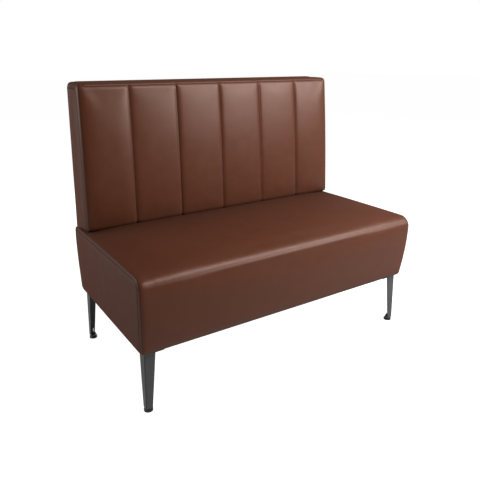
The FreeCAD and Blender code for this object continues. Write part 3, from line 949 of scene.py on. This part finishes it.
# %% Edge wear group
wear_group, given, result = new_group("edge_wear", {"Edge Width": 0.0012, "Patches": 60.0}, ["Wear"])
tree = wear_group
rounded = node(tree, "Bevel", {"samples": 6}, Radius=given["Edge Width"])
true_normal = node(tree, "NewGeometry").outputs["Normal"]
likeness = node(tree, "VectorMath", {"operation": "DOT_PRODUCT"})
tree.links.new(rounded.outputs["Normal"], likeness.inputs[0])
tree.links.new(true_normal, likeness.inputs[1])
edge = sum_of(tree, "SUBTRACT", 1.0, likeness.outputs["Value"])
edge = sum_of(tree, "MULTIPLY", edge, 9.0, clamp=True)
patches = sum_of(tree, "MULTIPLY_ADD", noise(tree, given["Patches"], 3.0), 2.4, -0.75, clamp=True)
tree.links.new(sum_of(tree, "MULTIPLY", edge, patches), result["Wear"])
print("wear group:", len(tree.nodes), "nodes")

# %% [markdown]
# ## Steel and nylon
#
# The legs are folded sheet with a dark grey powder coat. The studs, screws and staples
# are zinc plated, and the glides are black nylon.

# %% Dark grey powder coat
coat, tree, shader = new_material("dark_powder_coat")
grain = place_group(tree, grain_group, Cell_Scale=900.0, Fine_Scale=1500.0, Cloud_Scale=18.0)
wear = place_group(tree, wear_group, Edge_Width=0.0011, Patches=70.0)["Wear"]
paint = blend_colour(tree, grain["Cloud"], (0.048, 0.048, 0.050), (0.072, 0.071, 0.073))
paint_with(tree, shader, wear, paint, (0.26, 0.26, 0.27))
tree.links.new(sum_of(tree, "MULTIPLY_ADD", grain["Cloud"], 0.16, 0.30), shader.inputs["Roughness"])
tree.links.new(sum_of(tree, "MULTIPLY_ADD", wear, 0.8, 0.12), shader.inputs["Metallic"])
bump_into(tree, shader, grain["Height"], 0.35, 0.00025)
shader.inputs["Specular IOR Level"].default_value = 0.28
print("powder coat:", len(tree.nodes), "nodes")

# %% Zinc plate
zinc, tree, shader = new_material("zinc_plate")
grain = place_group(tree, grain_group, Cell_Scale=340.0, Fine_Scale=900.0, Cloud_Scale=60.0)
wear = place_group(tree, wear_group, Edge_Width=0.0006, Patches=120.0)["Wear"]
plate = blend_colour(tree, grain["Cells"], (0.60, 0.61, 0.62), (0.45, 0.46, 0.48))
paint_with(tree, shader, wear, plate, (0.78, 0.77, 0.74))
tree.links.new(sum_of(tree, "MULTIPLY_ADD", grain["Cloud"], 0.25, 0.22), shader.inputs["Roughness"])
bump_into(tree, shader, grain["Height"], 0.2, 0.0001)
shader.inputs["Metallic"].default_value = 1.0

# %% Black nylon
nylon, tree, shader = new_material("black_nylon")
grain = place_group(tree, grain_group, Cell_Scale=700.0, Fine_Scale=1600.0, Cloud_Scale=80.0)
paint_with(tree, shader, grain["Cloud"], (0.012, 0.012, 0.013), (0.030, 0.030, 0.031))
tree.links.new(sum_of(tree, "MULTIPLY_ADD", grain["Cloud"], 0.3, 0.30), shader.inputs["Roughness"])
bump_into(tree, shader, grain["Height"], 0.3, 0.0001)
print("zinc and nylon ready")

# %% [markdown]
# ## What is inside
#
# The frame is birch plywood, the filling is cream foam, and the seat rests on elastic
# webbing. They are hidden in the picture, but they show when the bench is taken apart.

# %% Dust cloth, plywood, foam and webbing
dust, tree, shader = new_material("black_dust_cloth")
grain = place_group(tree, grain_group, Cell_Scale=380.0, Fine_Scale=700.0, Cloud_Scale=140.0)
paint_with(tree, shader, grain["Cloud"], (0.006, 0.006, 0.007), (0.030, 0.030, 0.032))
tree.links.new(sum_of(tree, "MULTIPLY_ADD", grain["Cells"], 0.15, 0.82), shader.inputs["Roughness"])
bump_into(tree, shader, grain["Height"], 0.6, 0.0004)

plywood, tree, shader = new_material("birch_plywood")
where = node(tree, "TexCoord").outputs["Object"]
stretched = node(tree, "Mapping", Vector=where, Scale=(2.0, 34.0, 12.0)).outputs["Vector"]
figure = noise(tree, 4.0, 6.0, stretched)
plies = node(tree, "TexWave", {"bands_direction": "X"}, Vector=where, Scale=110.0, Distortion=0.4)
face = blend_colour(tree, figure, (0.40, 0.25, 0.13), (0.70, 0.51, 0.31))
face = darken(tree, plies.outputs["Fac"], 0.22, face, (0.30, 0.18, 0.09))
tree.links.new(face, shader.inputs["Base Color"])
tree.links.new(sum_of(tree, "MULTIPLY_ADD", figure, 0.2, 0.55), shader.inputs["Roughness"])
bump_into(tree, shader, figure, 0.2, 0.0003)

foam, tree, shader = new_material("open_cell_foam")
grain = place_group(tree, grain_group, Cell_Scale=620.0, Fine_Scale=1300.0, Cloud_Scale=15.0)
paint_with(tree, shader, grain["Cells"], (0.84, 0.79, 0.58), (0.56, 0.50, 0.30))
bump_into(tree, shader, grain["Height"], 0.8, 0.0006)
shader.inputs["Roughness"].default_value = 0.95

webbing, tree, shader = new_material("elastic_webbing")
where = node(tree, "TexCoord").outputs["Object"]
ribs = node(tree, "TexWave", {"bands_direction": "X"}, Vector=where, Scale=120.0).outputs["Fac"]
paint_with(tree, shader, ribs, (0.022, 0.020, 0.018), (0.11, 0.095, 0.075))
bump_into(tree, shader, ribs, 0.5, 0.0005)
shader.inputs["Roughness"].default_value = 0.85

# %% Give every piece its finish
finish_of_slot = {
    "leather": leather,
    "plywood": plywood,
    "foam": foam,
    "webbing": webbing,
    "dust_cloth": dust,
    "leg_steel": coat,
    "zinc_steel": zinc,
    "glide_nylon": nylon,
}
for entry in frame["record"]["subparts"]:
    part = nodes[entry["node"]]
    part.data.materials.clear()
    part.data.materials.append(finish_of_slot[entry["material_slot"]])
for piece, finish in ((dust_cloth, dust), (staples, zinc)):
    piece.data.materials.clear()
    piece.data.materials.append(finish)

# %% [markdown]
# ## Floor and backdrop
#
# The catalogue picture has a plain white ground. The floor is a large grey plane that
# also glows for the camera, so that it ends as white and still catches a faint shadow.
# The world does the same. Mirror-like pieces see this white too, but only a third of it.
# The seat and the sides are seen at a flat glance, where any leather turns into a weak
# mirror, and at full strength they would go grey.
#
# The lamps are soft boxes, as in a studio. The one in front gives the channels their
# sheen, and the long strip above the front edge draws the broad light line on its roll.
# Small bare lamps would be easier to place, but they make hard dots on leather.

# %% Floor, world and lights
seen_in_gloss = 0.35


def seen_directly(tree):
    """1 for what the camera or glass sees, a third for reflections, 0 for the rest."""
    rays = tree.nodes.new("ShaderNodeLightPath")
    reflected = sum_of(tree, "MULTIPLY", rays.outputs["Is Glossy Ray"], seen_in_gloss)
    seen = sum_of(tree, "MAXIMUM", rays.outputs["Is Camera Ray"], reflected)
    return sum_of(tree, "MAXIMUM", seen, rays.outputs["Is Transmission Ray"])


bpy.ops.object.select_all(action="DESELECT")
bpy.ops.mesh.primitive_plane_add(size=60, location=(0, 0, floor_height))
floor = named("studio_floor")
settle(floor)
floor_paint, tree, shader = new_material("white_floor")
shader.inputs["Base Color"].default_value = (0.45, 0.45, 0.45, 1)
shader.inputs["Roughness"].default_value = 1.0
shader.inputs["Specular IOR Level"].default_value = 0.0
shader.inputs["Emission Color"].default_value = (1, 1, 1, 1)
tree.links.new(sum_of(tree, "MULTIPLY", seen_directly(tree), 0.94), shader.inputs["Emission Strength"])
floor.data.materials.append(floor_paint)

world = bpy.data.worlds.new("studio")
scene.world = world
world.use_nodes = True
tree = world.node_tree
ground = tree.nodes["Background"]
ground.inputs["Color"].default_value = (1, 1, 1, 1)
world_light = 0.11
shown = sum_of(tree, "MULTIPLY_ADD", seen_directly(tree), 1 - world_light, world_light)
tree.links.new(shown, ground.inputs["Strength"])


def soft_light(name, start, end, aim, depth, power):
    """A soft box whose long side runs from start to end and whose face looks at aim."""
    start, end, aim = Vector(start), Vector(end), Vector(aim)
    middle = (start + end) / 2
    long_way = (end - start).normalized()
    back = middle - aim
    back = (back - back.dot(long_way) * long_way).normalized()
    bpy.ops.object.select_all(action="DESELECT")
    bpy.ops.object.light_add(type="AREA", location=middle)
    lamp = bpy.context.object
    lamp.name = name
    lamp.rotation_euler = Matrix((long_way, back.cross(long_way), back)).transposed().to_euler()
    lamp.data.shape = "RECTANGLE"
    lamp.data.size = (end - start).length
    lamp.data.size_y = depth
    lamp.data.energy = power
    return lamp


soft_light("front_soft_box", (1.05, -2.62, 1.42), (2.7, -2.0, 1.42), (0, 0.2, 0.8), 0.55, 52)
soft_light("roll_strip", (0.08, -1.28, 1.98), (2.07, -1.05, 1.50), (0, -0.3, 0.48), 0.60, 49)
soft_light("left_soft_box", (-2.6, 0.6, 1.2), (-2.6, 2.6, 1.2), (-0.6, 0.1, 0.5), 1.0, 38)
soft_light("rear_fill", (1.4, 2.9, 0.75), (-0.6, 2.9, 0.75), (0, 0.3, 0.6), 0.6, 22)

# %% [markdown]
# ## Camera
#
# The camera stands in front of the bench, to the left and above. Its place and lens were
# worked out from the corners of the bench in the picture. A small lens shift keeps the
# upright edges nearly parallel, as a studio camera does.

# %% Camera
camera_data = bpy.data.cameras.new("catalogue_camera")
camera = bpy.data.objects.new("catalogue_camera", camera_data)
scene.collection.objects.link(camera)
picture_width = 480
focal_pixels = 531.15
camera_data.sensor_width = 36
camera_data.lens = camera_data.sensor_width * focal_pixels / picture_width
camera_data.shift_y = -0.145
camera.location = (-1.1417, -1.6938, 1.1016)
camera_yaw = 0.581
camera_pitch = 0.2063
camera.rotation_euler = (math.pi / 2 - camera_pitch, 0, -camera_yaw)
scene.camera = camera
scene.view_settings.view_transform = "Standard"
print("lens", round(camera_data.lens, 2), "mm")
